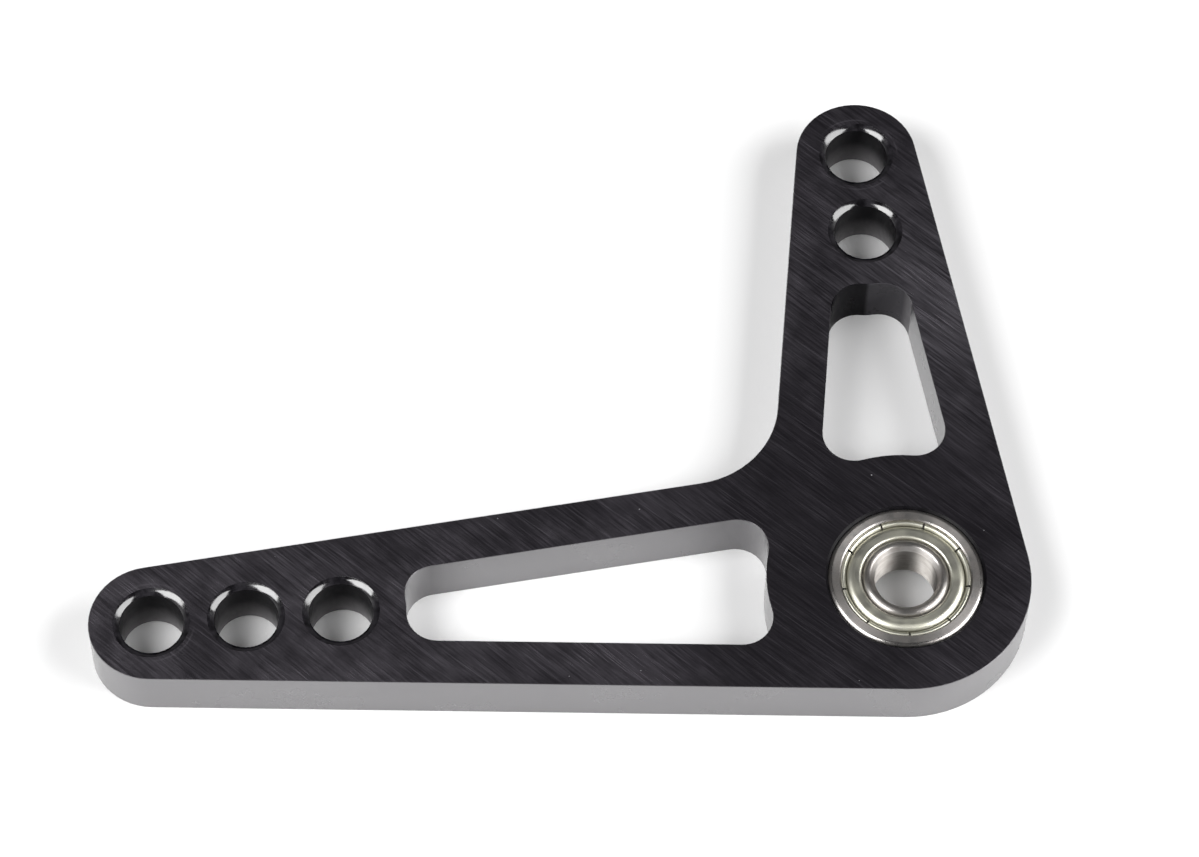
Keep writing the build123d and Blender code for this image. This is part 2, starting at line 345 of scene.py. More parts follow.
class Effects:
    """The surface effects that several finishes share, each a node group that is built once."""

    def __init__(self) -> None:
        """Builds the groups."""
        self.lines = self._lines()
        self.turned = self._turned()
        self.specks = self._specks()
        self.cloud = self._cloud()
        self.ring_mark = self._ring_mark()

    def _lines(self) -> Tree:
        """Builds straight fine lines, stretched along one direction of the XY plane.

        Returns:
            The group, from 0 to 1.
        """
        group = EffectGroup("straight_lines", "Angle", "Length", "Spacing")
        inputs = {name: group.given[name] for name in ("Vector", "Angle")}
        turned = group.add("VectorRotate", inputs, rotation_type="Z_AXIS").outputs[0]
        scaled = {
            axis: group.math("DIVIDE", group.part(turned, axis), group.given[size])
            for axis, size in (("X", "Length"), ("Y", "Spacing"), ("Z", "Spacing"))
        }
        return group.close(group.noise(group.add("CombineXYZ", scaled).outputs[0], 1.0, detail=3.0, roughness=0.65))

    def _turned(self) -> Tree:
        """Builds the lines left by turning about the Z axis, by radius and height.

        Returns:
            The group, from 0 to 1.
        """
        group = EffectGroup("turned_lines", "Pitch", "Waver")
        place, pitch = group.given["Vector"], group.given["Pitch"]
        flat = group.vector("MULTIPLY", place, (1, 1, 0))
        direction = group.vector("NORMALIZE", flat)
        around = group.add("VectorMath", {0: direction, "Scale": group.given["Waver"]}, operation="SCALE").outputs[0]
        counts = {"X": group.vector("LENGTH", flat), "Y": group.part(place, "Z")}
        lines = {axis: group.math("DIVIDE", value, pitch) for axis, value in counts.items()}
        both = group.vector("ADD", group.add("CombineXYZ", lines).outputs[0], around)
        return group.close(group.noise(both, 1.0, detail=2.0, roughness=0.6))

    def _specks(self) -> Tree:
        """Builds sparse small specks of dust or pits.

        Returns:
            The group, from 0 to 1.
        """
        group = EffectGroup("specks", "Spacing", "Size", "Share")
        given, crispness = group.given, 3.0
        scale = group.math("DIVIDE", 1.0, given["Spacing"])
        cells = group.add("TexVoronoi", {"Vector": given["Vector"], "Scale": scale}).outputs
        chance = group.add("SeparateColor", {"Color": cells["Color"]}).outputs
        chosen = group.math("LESS_THAN", chance["Red"], given["Share"])
        reach = group.math("MULTIPLY", given["Size"], chance["Green"])
        spot = group.math("SUBTRACT", 1.0, group.math("DIVIDE", cells["Distance"], reach))
        shown = group.math("MULTIPLY", spot, crispness, clamp=True)
        return group.close(group.math("MULTIPLY", shown, chosen))

    def _cloud(self) -> Tree:
        """Builds soft uneven patches.

        Returns:
            The group, from 0 to 1.
        """
        group = EffectGroup("soft_patches", "Spacing")
        scale = group.math("DIVIDE", 1.0, group.given["Spacing"])
        return group.close(group.noise(group.given["Vector"], scale, detail=3.0, roughness=0.55))

    def _ring_mark(self) -> Tree:
        """Builds a thin worn ring, as a washer leaves it round a hole.

        Returns:
            The group, from 0 to 1.
        """
        group = EffectGroup("ring_mark", "Centre", "Radius", "Width")
        away = group.vector("SUBTRACT", group.given["Vector"], group.given["Centre"])
        distance = group.vector("LENGTH", group.vector("MULTIPLY", away, (1, 1, 0)))
        off = group.math("ABSOLUTE", group.math("SUBTRACT", distance, group.given["Radius"]))
        return group.close(group.math("SUBTRACT", 1.0, group.math("DIVIDE", off, group.given["Width"]), clamp=True))


@dataclass(frozen=True)
class Specks:
    """Scattered specks: spacing in metres, size against it, share of places, strength and colour."""

    spacing: float
    size: float
    share: float
    strength: float
    colour: Colour


@dataclass(frozen=True)
class Lines:
    """Straight lines: turn in radians, length and spacing in metres."""

    turn: float
    length: float
    spacing: float


@dataclass(frozen=True)
class CutterMarks:
    """Marks along a wall: weight of steps across, spacing in metres, and strength and height of the bump."""

    squeeze: float
    spacing: float
    bump: Relief


def bare_tree(owner: Material | bpy.types.World) -> Tree:
    """Gives a material or a world an empty node tree.

    Args:
        owner: The material or the world.

    Returns:
        The tree.
    """
    owner.use_nodes = True
    owner.node_tree.nodes.clear()
    return owner.node_tree


class Finish(Graph):
    """A new material's graph, with its surface shader, its object coordinates and the shared effects."""

    def __init__(self, name: str, effects: Effects) -> None:
        """Makes the material, with a bare surface shader.

        Args:
            name: The material's name.
            effects: The shared effects.
        """
        self.material = bpy.data.materials.new(name)
        super().__init__(bare_tree(self.material))
        self.effects = effects
        self.shader = self.add("BsdfPrincipled")
        self.add("OutputMaterial", {"Surface": self.shader.outputs[0]})
        self.place = self.add("TexCoord").outputs["Object"]

    def effect(self, group: Tree, **inputs: Value) -> Socket:
        """Lays a shared effect over the surface, by its object coordinates unless a Vector is given."""
        return self.add("Group", {"Vector": self.place} | inputs, node_tree=group).outputs[0]

    def cloud(self, spacing: float) -> Socket:
        """Lays soft patches over the surface."""
        return self.effect(self.effects.cloud, Spacing=spacing)

    def lines(self, lines: Lines) -> Socket:
        """Lays straight lines over the surface."""
        return self.effect(self.effects.lines, Angle=lines.turn, Length=lines.length, Spacing=lines.spacing)

    def marks(self, marks: CutterMarks) -> Socket:
        """Lays cutter marks along the surface."""
        lay = self.vector("MULTIPLY", self.place, (marks.squeeze, marks.squeeze, 1))
        return self.effect(self.effects.cloud, Vector=lay, Spacing=marks.spacing)

    def carve(self, marks: CutterMarks) -> Socket:
        """Works out the normal of a surface with cutter marks."""
        return self.bump(self.marks(marks), *marks.bump)

    def speckle(self, base: Socket, specks: Specks) -> Socket:
        """Scatters specks over a colour."""
        mask = self.effect(self.effects.specks, Spacing=specks.spacing, Size=specks.size, Share=specks.share)
        return self.mix(self.math("MULTIPLY", mask, specks.strength), base, specks.colour)

    def dress(self, base: Socket, rough: Socket, normal: Socket, inputs: Inputs) -> Material:
        """Fills in the surface shader and returns the finished material."""
        self.fill(self.shader, {"Base Color": base, "Roughness": rough, "Normal": normal} | inputs)
        return self.material


@dataclass(frozen=True)
class BlackAnodising:
    """Dyed anodised aluminium, whose shine follows the tool that cut the surface below it."""

    effects: Effects
    dark: Colour = (0.0016, 0.0012, 0.0022)
    pale: Colour = (0.023, 0.0203, 0.0257)
    line: Colour = (0.070, 0.066, 0.075)
    tint: Colour = (0.965, 0.905, 1.0)
    dust: Colour = (0.30, 0.30, 0.31)
    # Pale tone of painted light, at the bottom of the bores and on the short pocket's end.
    painted_pale_light: Colour = (0.28, 0.27, 0.28)
    ior: float = 2.35
    spread: float = 0.8
    patchy: Range = (0.35, 0.65)
    grain_fine: Lines = Lines(BRUSHING, 4 * MM, 0.08 * MM)
    grain_broad: Lines = Lines(BRUSHING + 0.03, 9 * MM, 0.13 * MM)
    grain_hair: Lines = Lines(BRUSHING - 0.05, 14 * MM, 0.08 * MM)
    grain_share: float = 0.6
    grain_shown: Range = (0.42, 0.64)
    grain_rough: Range = (0.13, 0.20)
    grain_bump: Relief = (0.5, 0.005 * MM)
    hair_bright: Range = (0.60, 0.70)
    hair_dark: Range = (0.32, 0.40)
    wear_patches: float = 13 * MM
    wear_smudges: float = 2.8 * MM
    wear_share: float = 0.6
    wear_shown: Range = (0.42, 0.58)
    wear_rough: float = 0.08
    # Painted shade: the top face is darkened towards the hub's centre, fading out over this reach.
    hub_centre: Place = (-5 * MM, 4 * MM, 0)
    hub_reach: Range = (11.5 * MM, 23 * MM)
    hub_shade_level: float = 0.36
    # Painted light: a paler patch centred on the short arm's right web.
    web_light_centre: Place = (7 * MM, 32 * MM, 0)
    web_light_reach: Range = (4 * MM, 20 * MM)
    witness_places: tuple[Point, ...] = ()
    witness_radius: float = 4.35 * MM
    witness_width: float = 0.12 * MM
    wall_pale: Colour = (0.024, 0.0222, 0.026)
    wall_tint: Colour = (0.99, 0.96, 1.0)
    wall_ior: float = 2.02
    wall_seal: float = 1.0
    wall_seal_rough: float = 0.22
    wall_patches: Range = (1.6 * MM, 11 * MM)
    wall_fine_share: float = 0.18
    wall_mottle: Range = (0.25, 0.75)
    wall_tone: Range = (0.55, 0.65)
    wall_rough: Range = (0.24, 0.34)
    wall_specks: float = 1.1 * MM
    wall_marks: CutterMarks = CutterMarks(0.08, 0.22 * MM, (0.3, 0.004 * MM))
    bore_pale: Colour = (0.005, 0.0045, 0.006)
    bore_ior: float = 1.3
    bore_rough: Range = (0.38, 0.52)
    # Heights and falloff of the painted light that pales the bores towards the floor.
    bore_light_heights: Range = (-3.2 * MM, 0.8 * MM)
    bore_light_falloff: float = 1.6
    bore_marks: CutterMarks = CutterMarks(0.05, 0.16 * MM, (0.5, 0.006 * MM))
    sink_pale: Colour = (0.016, 0.0145, 0.018)
    sink_ior: float = 1.9
    sink_rough: Range = (0.08, 0.2)
    sink_heights: Range = (2.783 * MM, 3.175 * MM)
    sink_ring_share: float = 0.02
    sink_marks: CutterMarks = CutterMarks(0.04, 0.07 * MM, (1.0, 0.045 * MM))
    # Painted shade on the short pocket's far end, with painted light on its right half and towards its right side.
    end_painted_light_tone: Colour = (0.045, 0.043, 0.048)
    shaded_end_ior: float = 1.16
    shaded_end_rough: Range = (0.26, 0.40)
    end_light_edge: Range = (-0.55 * MM, -0.15 * MM)
    end_light_side: Range = (3.3 * MM, 4.8 * MM)

    def build(self) -> tuple[Material, ...]:
        """Builds the finishes in the order of PlateSurface."""
        return self._face(), self._wall(), self._bore(), self._countersink(), self._shaded_end()

    def _face(self) -> Material:
        """Finish of the two flat faces, brushed with long straight lines before the dye, with painted shade round the
        hub and painted light on the short arm's right web.

        Returns:
            The material.
        """
        look = Finish("anodised_brushed", self.effects)
        fine, broad, hair = (look.lines(lines) for lines in (self.grain_fine, self.grain_broad, self.grain_hair))
        grain = look.blend(fine, self.grain_share, broad)
        smudges = look.cloud(self.wear_smudges)
        worn = look.blend(look.cloud(self.wear_patches), self.wear_share, smudges)
        hub, web_light_distance = (look.vector("DISTANCE", look.place, here) for here in (self.hub_centre, self.web_light_centre))
        # Painted shade round the hub: the face's light share drops towards the hub's centre.
        hub_painted_shade = look.remap(hub, self.hub_reach, (self.hub_shade_level, 1))
        # Painted light: the short arm's right web is made paler, with its lines fully shown.
        web_painted_light = look.remap(web_light_distance, self.web_light_reach, (1, 0))
        lit = look.math("MULTIPLY", look.remap(worn, self.wear_shown, (0.4, 1)), hub_painted_shade)
        lit = look.math("MAXIMUM", lit, web_painted_light)
        shown = look.math("MULTIPLY", look.remap(grain, self.grain_shown), lit)
        # The painted light on the short arm's web shifts the base from the pale tone to the line colour.
        base = look.mix(shown, self.dark, look.mix(web_painted_light, self.pale, self.line))
        cut = look.math("MULTIPLY", look.remap(hair, self.hair_bright, (0, 0.9)), look.remap(lit, (0, 1), (0.4, 1)))
        base = look.mix(cut, base, self.line)
        base = look.mix(look.remap(hair, self.hair_dark, (0.9, 0)), base, self.dark)
        for centre in self.witness_places:
            ring = {"Centre": (*centre, 0), "Radius": self.witness_radius, "Width": self.witness_width}
            mark = look.effect(look.effects.ring_mark, **ring)
            faint = look.math("MULTIPLY", mark, look.remap(smudges, (0.42, 0.6), (0, 0.35)))
            base = look.mix(faint, base, self.line)
        base = look.speckle(base, Specks(1.2 * MM, size=0.08, share=0.1, strength=0.8, colour=self.dust))
        dulled = look.math("MULTIPLY", lit, self.wear_rough)
        across = look.add("CombineXYZ", {"X": math.sin(BRUSHING), "Y": math.cos(BRUSHING)})
        rough = look.math("ADD", look.remap(grain, (0.40, 0.62), self.grain_rough), dulled)
        inputs = {"IOR": self.ior, "Specular Tint": self.tint, "Anisotropic": self.spread, "Tangent": across.outputs[0]}
        return look.dress(base, rough, look.bump(grain, *self.grain_bump), inputs)

    def _wall(self) -> Material:
        """Finish of the milled outline and pockets: satin, sealed, with a lay that runs along the wall.

        Returns:
            The material.
        """
        look = Finish("anodised_milled", self.effects)
        fine, large = (look.cloud(spacing) for spacing in self.wall_patches)
        mottle = look.remap(look.blend(fine, self.wall_fine_share, large), self.wall_mottle, self.wall_tone)
        base = self._mottled(look, mottle, self.wall_pale, self.wall_specks)
        rough = look.remap(mottle, self.wall_tone, self.wall_rough)
        seal = {"Coat Weight": self.wall_seal, "Coat Roughness": self.wall_seal_rough, "Specular Tint": self.wall_tint}
        return look.dress(base, rough, look.carve(self.wall_marks), self._mirror(look, self.wall_ior) | seal)

    def _bore(self) -> Material:
        """Finish of the reamed rod holes and the bearing seat: deep black, with painted light that pales them towards
        the floor.

        Returns:
            The material.
        """
        look = Finish("anodised_reamed", self.effects)
        patches = look.cloud(1.1 * MM)
        base = self._mottled(look, patches, self.bore_pale, 0.7 * MM)
        # Painted light: the bore pales towards its bottom, where the floor's light reaches it.
        foot = look.remap(look.part(look.place, "Z"), self.bore_light_heights, (1, 0))
        base = look.mix(look.math("POWER", foot, self.bore_light_falloff), base, self.painted_pale_light)
        rough = look.remap(patches, self.patchy, self.bore_rough)
        return look.dress(base, rough, look.carve(self.bore_marks), self._mirror(look, self.bore_ior))

    def _countersink(self) -> Material:
        """Finish of the countersinks: glossy and a little rounded, with faint rings and dull patches.

        Returns:
            The material.
        """
        look = Finish("anodised_countersunk", self.effects)
        patches = look.cloud(0.9 * MM)
        rings = look.marks(self.sink_marks)
        height = look.math("ABSOLUTE", look.part(look.place, "Z"))
        along = look.remap(height, self.sink_heights, (-1, 1))
        bulge = look.math("SUBTRACT", 1.0, look.math("MULTIPLY", along, along))
        relief = look.math("ADD", bulge, look.math("MULTIPLY", rings, self.sink_ring_share))
        base = self._mottled(look, patches, self.sink_pale, 0.6 * MM)
        rough = look.remap(look.blend(rings, 0.5, patches), (0.4, 0.6), self.sink_rough)
        return look.dress(base, rough, look.bump(relief, *self.sink_marks.bump), {"IOR": self.sink_ior})

    def _shaded_end(self) -> Material:
        """Finish of the short pocket's far end, painted shade: as black as the bores, with painted light on its right
        half and more towards its right side.

        Returns:
            The material.
        """
        look = Finish("anodised_painted_shade_end", self.effects)
        patches = look.cloud(self.wall_patches[0])
        base = self._mottled(look, patches, self.bore_pale, self.wall_specks)
        across = look.part(look.place, "X")
        # Painted light: the end is paler on its right half and paler still towards its right side.
        base = look.mix(look.remap(across, self.end_light_edge), base, self.end_painted_light_tone)
        base = look.mix(look.remap(across, self.end_light_side), base, self.painted_pale_light)
        rough = look.remap(patches, self.patchy, self.shaded_end_rough)
        return look.dress(base, rough, look.carve(self.wall_marks), self._mirror(look, self.shaded_end_ior))

    def _mirror(self, look: Finish, ior: float) -> Inputs:
        """Works out how strongly a wall mirrors, and spreads it up and down, as marks along the wall do."""
        upright = look.add("CombineXYZ", {"Z": 1.0}).outputs[0]
        return {"IOR": ior, "Anisotropic": self.spread, "Tangent": upright}

    def _mottled(self, look: Finish, mottle: Socket, pale: Colour, spacing: float) -> Socket:
        """Mixes the dye's dark tone with a paler one by a soft pattern and scatters specks over them.

        Args:
            look: The finish.
            mottle: The soft pattern, from 0 to 1.
            pale: The paler tone.
            spacing: Spacing of the specks, in metres.

        Returns:
            The colour.
        """
        base = look.mix(look.remap(mottle, self.patchy), self.dark, pale)
        return look.speckle(base, Specks(spacing, size=0.08, share=0.03, strength=0.12, colour=self.dust))


@dataclass(frozen=True)
class TurnedSteel:
    """Bearing steel: polished on its turned and rounded surfaces, ground duller on its flat end faces."""

    name: str
    colour: Colour
    stain: Colour
    polish: Range
    ground: Range
    pitch: float
    line_height: float
    spread: float = 0.7
    waver: float = 1.3
    stain_spacing: float = 1.1 * MM
    flat_limits: Range = (0.985, 0.998)
    uneven: Range = (0.38, 0.62)
    specks: Specks = Specks(0.7 * MM, size=0.11, share=0.07, strength=0.6, colour=(0.12, 0.11, 0.1))
    grinding: tuple[Lines, Lines] = (
        Lines(math.radians(-50), 2 * MM, 0.12 * MM),
        Lines(math.radians(20), 2 * MM, 0.12 * MM),
    )

    def material(self, effects: Effects) -> Material:
        """Builds the finish.

        Args:
            effects: The shared effects.

        Returns:
            The material.
        """
        look = Finish(self.name, effects)
        turned = look.effect(effects.turned, Pitch=self.pitch, Waver=self.waver)
        crossed = look.math("MAXIMUM", *(look.lines(lines) for lines in self.grinding))
        facing = look.add("TexCoord").outputs["Normal"]
        flat = look.remap(look.math("ABSOLUTE", look.part(facing, "Z")), self.flat_limits)
        grain = look.between(flat, turned, crossed)
        uneven = look.blend(grain, 0.5, look.cloud(self.stain_spacing))
        base = look.mix(look.remap(uneven, (0.4, 0.62)), self.colour, self.stain)
        polished, dull = (look.remap(uneven, self.uneven, rough) for rough in (self.polish, self.ground))
        base, rough = look.speckle(base, self.specks), look.between(flat, polished, dull)
        inputs = {"Metallic": 1.0, "Anisotropic": self.spread, "Tangent": self._across_the_lines(look)}
        return look.dress(base, rough, look.bump(grain, 0.5, self.line_height), inputs)

    def _across_the_lines(self, look: Finish) -> Socket:
        """Finds the direction across the turned lines, along which they spread reflections.

        Args:
            look: The finish.

        Returns:
            The direction, in the scene's axes.
        """
        around = look.vector("CROSS_PRODUCT", tuple(UP), look.place)
        axes = {"vector_type": "VECTOR", "convert_from": "OBJECT", "convert_to": "WORLD"}
        turned = look.add("VectorTransform", {"Vector": around}, **axes).outputs[0]
        return look.vector("CROSS_PRODUCT", turned, look.add("NewGeometry").outputs["Normal"])


@dataclass(frozen=True)
class PressedSheet:
    """Thin plated sheet, pressed to shape: satin, with a faint warm tint and soft dents."""

    name: str
    colour: Colour
    tint: Colour
    roughness: Range
    texture: float = 0.16 * MM
    dents: float = 1.7 * MM
    pitch: float = 0.14 * MM
    waver: float = 2.0
    uneven: Range = (0.4, 0.6)
    relief_bump: Relief = (0.4, 0.003 * MM)
    specks: Specks = Specks(0.6 * MM, size=0.1, share=0.08, strength=0.5, colour=(0.2, 0.19, 0.15))
    # Painted shade in a groove of the sheet: its colour, radius and width.
    groove_shade_colour: Colour = (0.075, 0.07, 0.045)
    groove_shade_radius: float = 0.0
    groove_shade_width: float = 0.17 * MM

    def material(self, effects: Effects) -> Material:
        """Builds the finish, with a ring of painted shade where the sheet has a groove.

        Args:
            effects: The shared effects.

        Returns:
            The material.
        """
        look = Finish(self.name, effects)
        patches = look.cloud(self.dents)
        turned = look.effect(effects.turned, Pitch=self.pitch, Waver=self.waver)
        relief = look.blend(look.cloud(self.texture), 0.5, turned)
        uneven = look.blend(relief, 0.5, patches)
        base = look.speckle(look.mix(look.remap(uneven, self.uneven), self.colour, self.tint), self.specks)
        # Painted shade: a dark ring along the groove, broken up by the dents.
        groove = look.effect(effects.ring_mark, Centre=(0, 0, 0), Radius=self.groove_shade_radius, Width=self.groove_shade_width)
        shade_in_groove = look.math("MULTIPLY", groove, look.remap(patches, (0.35, 0.6), (0.8, 1)))
        base, rough = look.mix(shade_in_groove, base, self.groove_shade_colour), look.remap(uneven, self.uneven, self.roughness)
        return look.dress(base, rough, look.bump(relief, *self.relief_bump), {"Metallic": 1.0})


def hand_over(piece: Piece, body: str, node: str) -> None:
    """Lets a finished piece ride on its body and stand for its node.

    Args:
        piece: The piece.
        body: The moving body that it rides on.
        node: The solid that it replaces.
    """
    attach(piece, body)
    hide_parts(node)
    log.info("%s: %d faces, rides on %s, stands for %s", piece.name, len(piece.data.polygons), body, node)


@dataclass
class CrankPlate:
    """The machined plate with its two arms, pockets, rod holes and bearing seat."""

    nodes: dict[str, Piece]
    effects: Effects
    node: str = "crank_plate"
    body: str = "crank"
    slot: str = "anodised_plate"
    hole_reach: float = 4.05 * MM
    seat_reach: float = 8.4 * MM
    shaded_end_place: Point = (-0.2 * MM, 34.7 * MM)
    shaded_end_reach: float = 5.0 * MM
    merge: float = 1e-6
    smooth_angle: float = math.radians(30)
    normal_weight: int = 100
    flat_limit: float = 0.99
    sloped_limit: float = 0.2
    rod_holes: list[Vector] = field(default_factory=list)
    outer_holes: list[Vector] = field(default_factory=list)

    def read_holes(self, record: dict) -> None:
        """Finds the rod holes and the outermost one of each arm.

        Args:
            record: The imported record, with the part's mounts.
        """
        for mount in record["mounts"]:
            if "arm_hole" in mount["name"]:
                self.rod_holes.append(Vector(mount["pos_m"]))
            if mount["name"].endswith("hole_outer"):
                self.outer_holes.append(Vector(mount["pos_m"]))

    def build(self) -> None:
        """Merges a copy of the plate's solid, smooths its walls and dresses each surface in its finish."""
        piece = bpy.data.objects.new("plate_body", self.nodes[self.node].data.copy())
        bpy.context.scene.collection.objects.link(piece)
        take_up(piece)
        bpy.ops.mesh.customdata_custom_splitnormals_clear()
        select_mesh()
        bpy.ops.mesh.remove_doubles(threshold=self.merge)
        bpy.ops.mesh.tris_convert_to_quads()
        set_mode("OBJECT")
        bpy.ops.object.shade_smooth_by_angle(angle=self.smooth_angle)
        piece.data.materials.clear()
        marks = tuple((hole.x, hole.y) for hole in self.outer_holes)
        for material in BlackAnodising(self.effects, witness_places=marks).build():
            piece.data.materials.append(material)
        for face in piece.data.polygons:
            face.material_index = self._surface(face).value
        apply_modifier(piece, "WEIGHTED_NORMAL", keep_sharp=True, weight=self.normal_weight)
        hand_over(piece, self.body, self.node)

    def _surface(self, face: bpy.types.MeshPolygon) -> PlateSurface:
        """Tells which surface of the plate a face belongs to.

        Args:
            face: The face.

        Returns:
            The surface.
        """
        upright = abs(face.normal.z)
        if upright > self.flat_limit:
            return PlateSurface.FACE
        if face.center.xy.length < self.seat_reach:
            return PlateSurface.BORE
        if any((face.center - hole).xy.length < self.hole_reach for hole in self.rod_holes):
            return PlateSurface.BORE if upright < self.sloped_limit else PlateSurface.COUNTERSINK
        # The short pocket's far end takes a finish with painted shade.
        if (face.center.xy - Vector(self.shaded_end_place)).length < self.shaded_end_reach:
            return PlateSurface.SHADED_END
        return PlateSurface.WALL


@dataclass
class Bearing:
    """The shielded ball bearing: two turned rings, two pressed shields, and the cage and balls inside."""

    nodes: dict[str, Piece]
    effects: Effects
    lathe: Lathe = Lathe()
    half_width: float = 2.489
    bore_radius: float = 3.175
    bore_reach: float = 3.2
    bore_chamfer: float = 0.45
    bore_edge_depth: float = 0.54
    bore_edge_corner: float = 0.12
    bore_face_corner: float = 0.35
    inner_step_radius: float = 4.35
    inner_corner: float = 0.5
    inner_step_depth: float = 0.62
    inner_land_radius: float = 4.840625
    outer_radius: float = 7.9375
    outer_corner: float = 0.5
    seat_radius: float = 6.62
    mouth_width: float = 0.15
    mouth_depth: float = 0.12
    lip_depth: float = 0.26
    ledge_depth: float = 0.66
    snap_depth: float = 0.18
    outer_land_radius: float = 6.271875
    pitch_radius: float = 5.55625
    groove_radius: float = 1.25
    groove_bottom: float = 1.200625
    shield_lip: float = 4.575
    shield_bends: tuple[Corner, ...] = (
        Corner(5.67, 0.175, 0.7), Corner(6.02, 0.62, 0.08), Corner(6.37, 0.22, 0.16), Corner(6.74, 0.5)
    )
    sheet: float = 0.15
    notch_count: int = 9
    notch_angle: float = 27.4
    notch_start: float = 6.12
    height: float = 0.0

    def groove(self, centre: float, start: float, end: float, steps: int = 16) -> list[Corner]:
        """Draws a ball groove as an arc of sharp corners.

        Args:
            centre: Distance of the arc's centre from the axis.
            start: The angle of its first corner, in degrees.
            end: The angle of its last corner, in degrees.
            steps: Spans in the arc.

        Returns:
            The corners in order.
        """
        found = []
        for step in range(steps + 1):
            angle = math.radians(start + (end - start) * step / steps)
            found.append(Corner(centre + self.groove_radius * math.cos(angle), self.groove_radius * math.sin(angle)))
        return found

    def outer_section(self) -> list[Point]:
        """Draws the outer ring: rounded outside, with the shields' seats and the ball groove inside.

        Returns:
            The points of its section.
        """
        top = self.half_width
        undercut = self.seat_radius + self.snap_depth
        upper = [
            Corner(self.outer_radius, top, self.outer_corner),
            Corner(self.seat_radius + self.mouth_width, top),
            Corner(self.seat_radius, top - self.mouth_depth),
            Corner(self.seat_radius, top - self.lip_depth),
            Corner(undercut, top - self.lip_depth),
            Corner(undercut, top - self.ledge_depth),
            Corner(self.outer_land_radius, top - self.ledge_depth),
        ]
        centre = self.pitch_radius + self.groove_bottom - self.groove_radius
        reach = math.degrees(math.acos((self.outer_land_radius - centre) / self.groove_radius))
        return rounded(upper + self.groove(centre, reach, -reach) + mirrored(upper), closed=True)

    def inner_section(self) -> list[Point]:
        """Draws the inner ring: chamfered bore, stepped ends and the ball groove outside.

        Returns:
            The points of its section.
        """
        top = self.half_width
        upper = [
            Corner(self.bore_radius, top - self.bore_edge_depth, self.bore_edge_corner),
            Corner(self.bore_radius + self.bore_chamfer, top, self.bore_face_corner),
            Corner(self.inner_step_radius, top, self.inner_corner),
            Corner(self.inner_step_radius, top - self.inner_step_depth),
            Corner(self.inner_land_radius, top - self.inner_step_depth),
        ]
        centre = self.pitch_radius - self.groove_bottom + self.groove_radius
        reach = math.degrees(math.acos((centre - self.inner_land_radius) / self.groove_radius))
        return rounded(upper + self.groove(centre, 180 - reach, 180 + reach) + mirrored(upper), closed=True)

    def shield_line(self, side: Side) -> list[Point]:
        """Draws the middle of a shield's sheet: turned-down lip, flat face, valley, crest and rim.

        Args:
            side: The end of the bearing that the shield closes.

        Returns:
            The points of the line.
        """
        lip = (Corner(self.shield_lip, 0.5), Corner(self.shield_lip, 0.175, 0.22))
        line = [
            Corner(bend.across, side.value * (self.half_width - bend.height), bend.radius)
            for bend in lip + self.shield_bends
        ]
        return rounded(line, closed=False)

    def build_ring(
        self, name: str, section: list[Point], body: str, node: str, finish: Material,
        bore_finish: Material | None = None,
    ) -> None:
        """Turns a ring from its section, dresses it and hands it over.

        Args:
            name: Name of the new piece.
            section: Corners of the section, across and up, in millimetres.
            body: The moving body that it rides on.
            node: The solid that it replaces.
            finish: The finish of the whole ring.
            bore_finish: The finish of its bore, where that differs.
        """
        piece = self.lathe.turn(name, section + section[:1])
        self.lathe.finish(piece, self.height, finish)
        if bore_finish:
            piece.data.materials.append(bore_finish)
            for face in piece.data.polygons:
                if face.center.xy.length < self.bore_reach * MM:
                    face.material_index = 1
        hand_over(piece, body, node)

    def cut_notches(self, piece: Piece) -> None:
        """Deletes the faces of the slots that part a shield's rim into tabs.

        Args:
            piece: The shield's sheet, in millimetres.
        """
        take_up(piece)
        select_mesh("DESELECT")
        set_mode("OBJECT")
        pitch = 360 / self.notch_count
        half_slot = 180 / self.lathe.steps
        for face in piece.data.polygons:
            angle = math.degrees(math.atan2(face.center.y, face.center.x))
            off = (angle - self.notch_angle + pitch / 2) % pitch - pitch / 2
            face.select = abs(off) < half_slot and face.center.xy.length > self.notch_start
        set_mode("EDIT")
        bpy.ops.mesh.delete(type="FACE")
        set_mode("OBJECT")

    def build_shield(self, side: Side, finish: Material) -> None:
        """Turns the middle of a shield's sheet, cuts its slots and gives it its thickness.

        Args:
            side: The end of the bearing that the shield closes.
            finish: The shield's finish.
        """
        word = side.name.lower()
        piece = self.lathe.turn(f"{word}_shield_pressing", self.shield_line(side))
        start = math.radians(self.notch_angle) + math.pi / self.lathe.steps
        piece.data.transform(Matrix.Rotation(start, 4, UP))
        self.cut_notches(piece)
        apply_modifier(piece, "SOLIDIFY", thickness=self.sheet, offset=0.0, use_even_offset=True)
        self.lathe.finish(piece, self.height, finish)
        hand_over(piece, "crank", f"{word}_shield")

    def dress_inside(self) -> None:
        """Gives the cage, its rivets and the balls their finishes."""
        strip = PressedSheet("cage_strip", (0.52, 0.51, 0.48), (0.44, 0.42, 0.38), (0.22, 0.34)).material(self.effects)
        polish = TurnedSteel(
            "ball_polish", (0.66, 0.66, 0.67), (0.6, 0.6, 0.61), (0.05, 0.1), (0.05, 0.1), 0.3 * MM, 0.0002 * MM
        ).material(self.effects)
        for name, node in self.nodes.items():
            finish = polish if name.startswith("ball_") else strip
            if name.startswith(("ball_", "cage_")):
                node.data.materials.clear()
                node.data.materials.append(finish)
                log.info("%s: solid kept, new finish", name)

